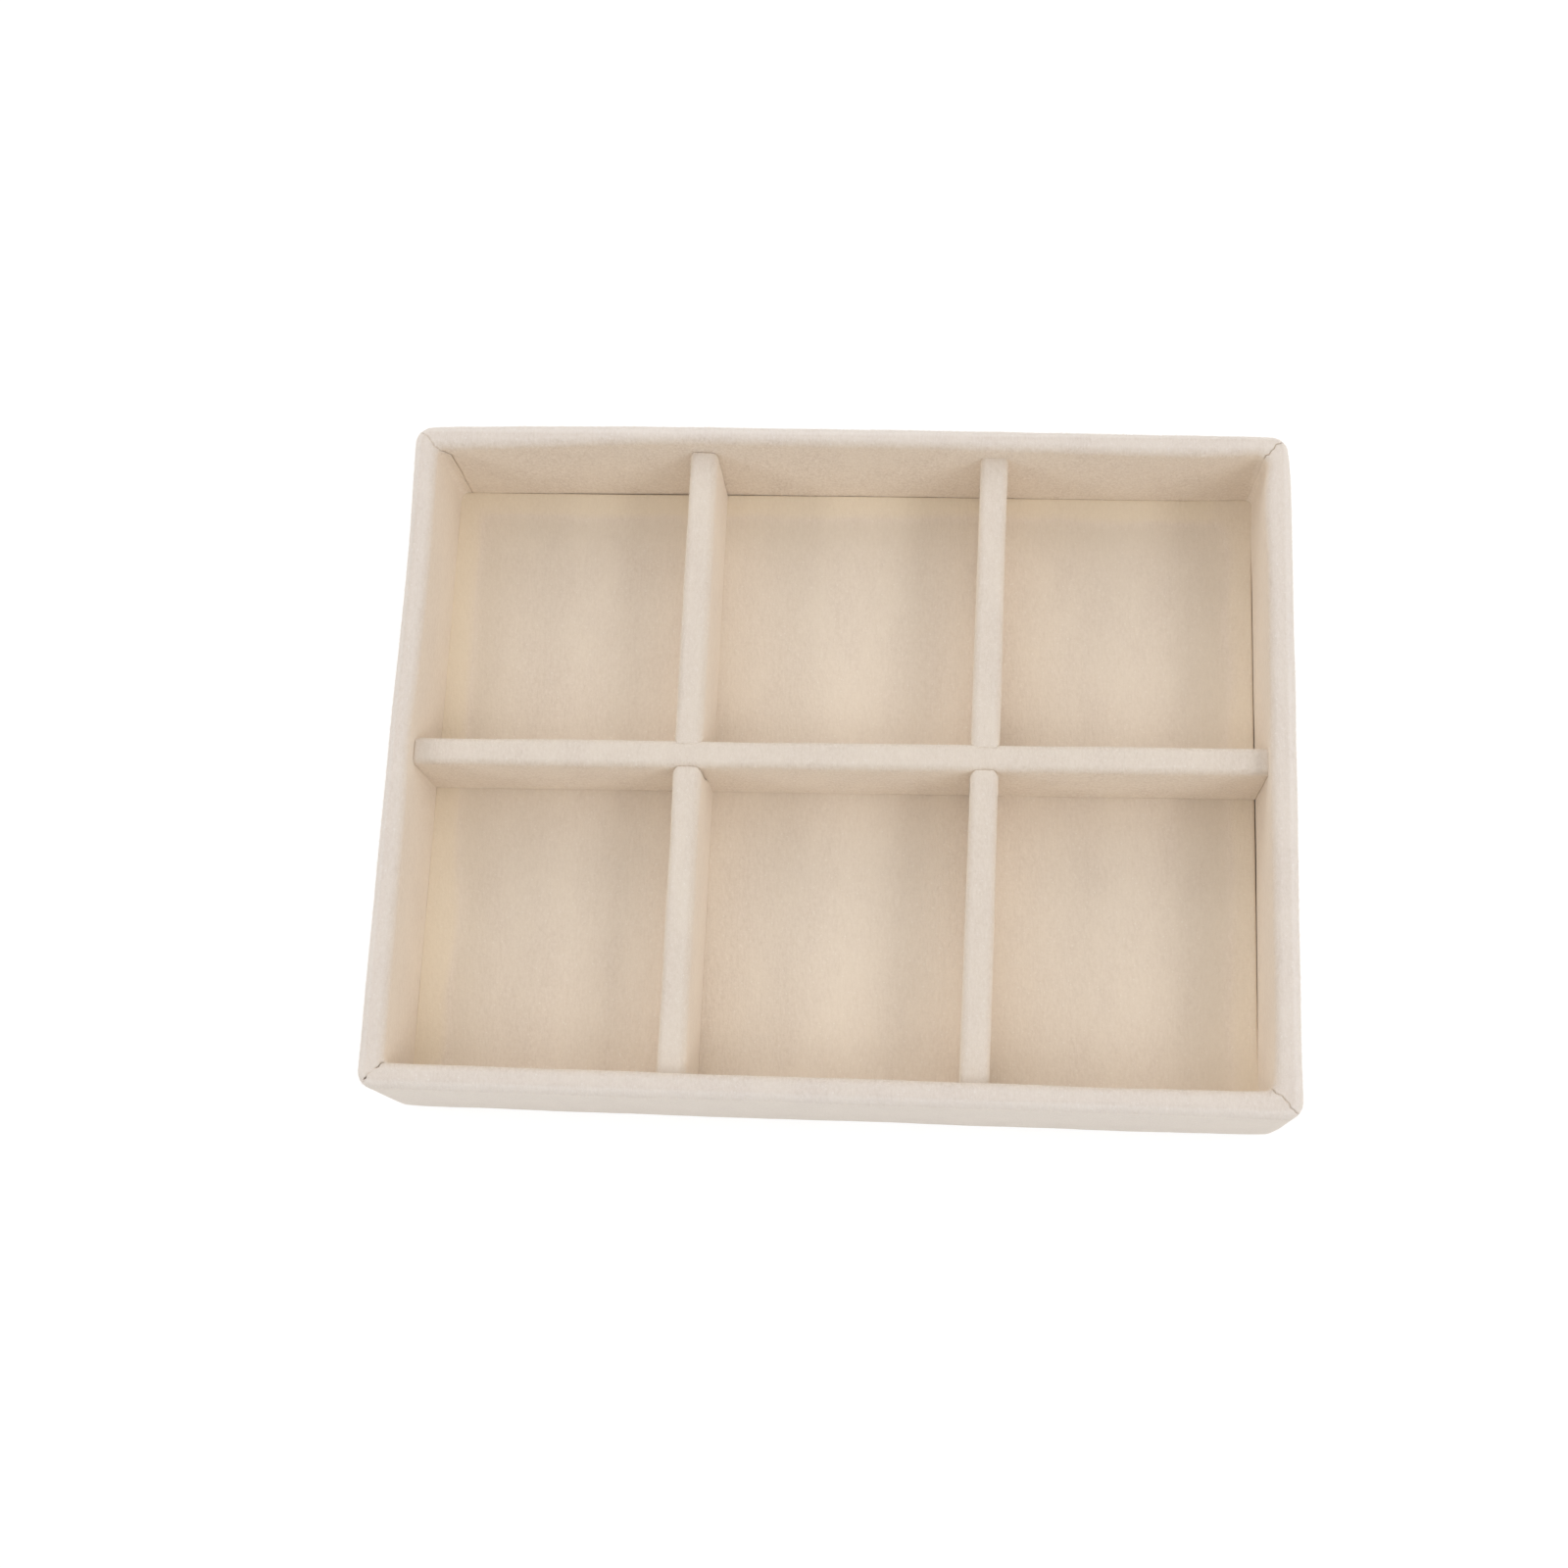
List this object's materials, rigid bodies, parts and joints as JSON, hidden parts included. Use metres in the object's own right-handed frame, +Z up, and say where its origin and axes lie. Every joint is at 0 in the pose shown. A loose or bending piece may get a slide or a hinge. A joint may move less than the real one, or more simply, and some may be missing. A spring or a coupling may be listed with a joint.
{
  "type": "jewelry tray",
  "caption": "Shallow open jewelry tray covered in cream short-pile cloth, divided into equal compartments by crossed cloth-covered dividers",
  "frame": {"origin": "middle of the underside, where the tray rests", "axes": "+X across the width to the right, +Y to the back, +Z up out of the open top"},
  "size_m": [0.18, 0.138, 0.03],
  "materials": {
    "cloth": "cream short-pile velvet, matt with a soft nap",
    "underside_sheet": "thin flocked sheet, matt",
    "board": "raw fibreboard",
    "card": "grey card, matt"
  },
  "bodies": {
    "root": {"base_board": "board", "bottom_sheet": "underside_sheet", "front_wall_board": "board", "front_wall_cloth": "cloth", "back_wall_board": "board", "back_wall_cloth": "cloth", "left_wall_board": "board", "left_wall_cloth": "cloth", "right_wall_board": "board", "right_wall_cloth": "cloth", "floor_board": "card", "floor_cloth": "cloth", "long_divider_board": "board", "long_divider_cloth": "cloth", "left_divider_board": "board", "left_divider_cloth": "cloth", "right_divider_board": "board", "right_divider_cloth": "cloth"}
  },
  "joints": []
}
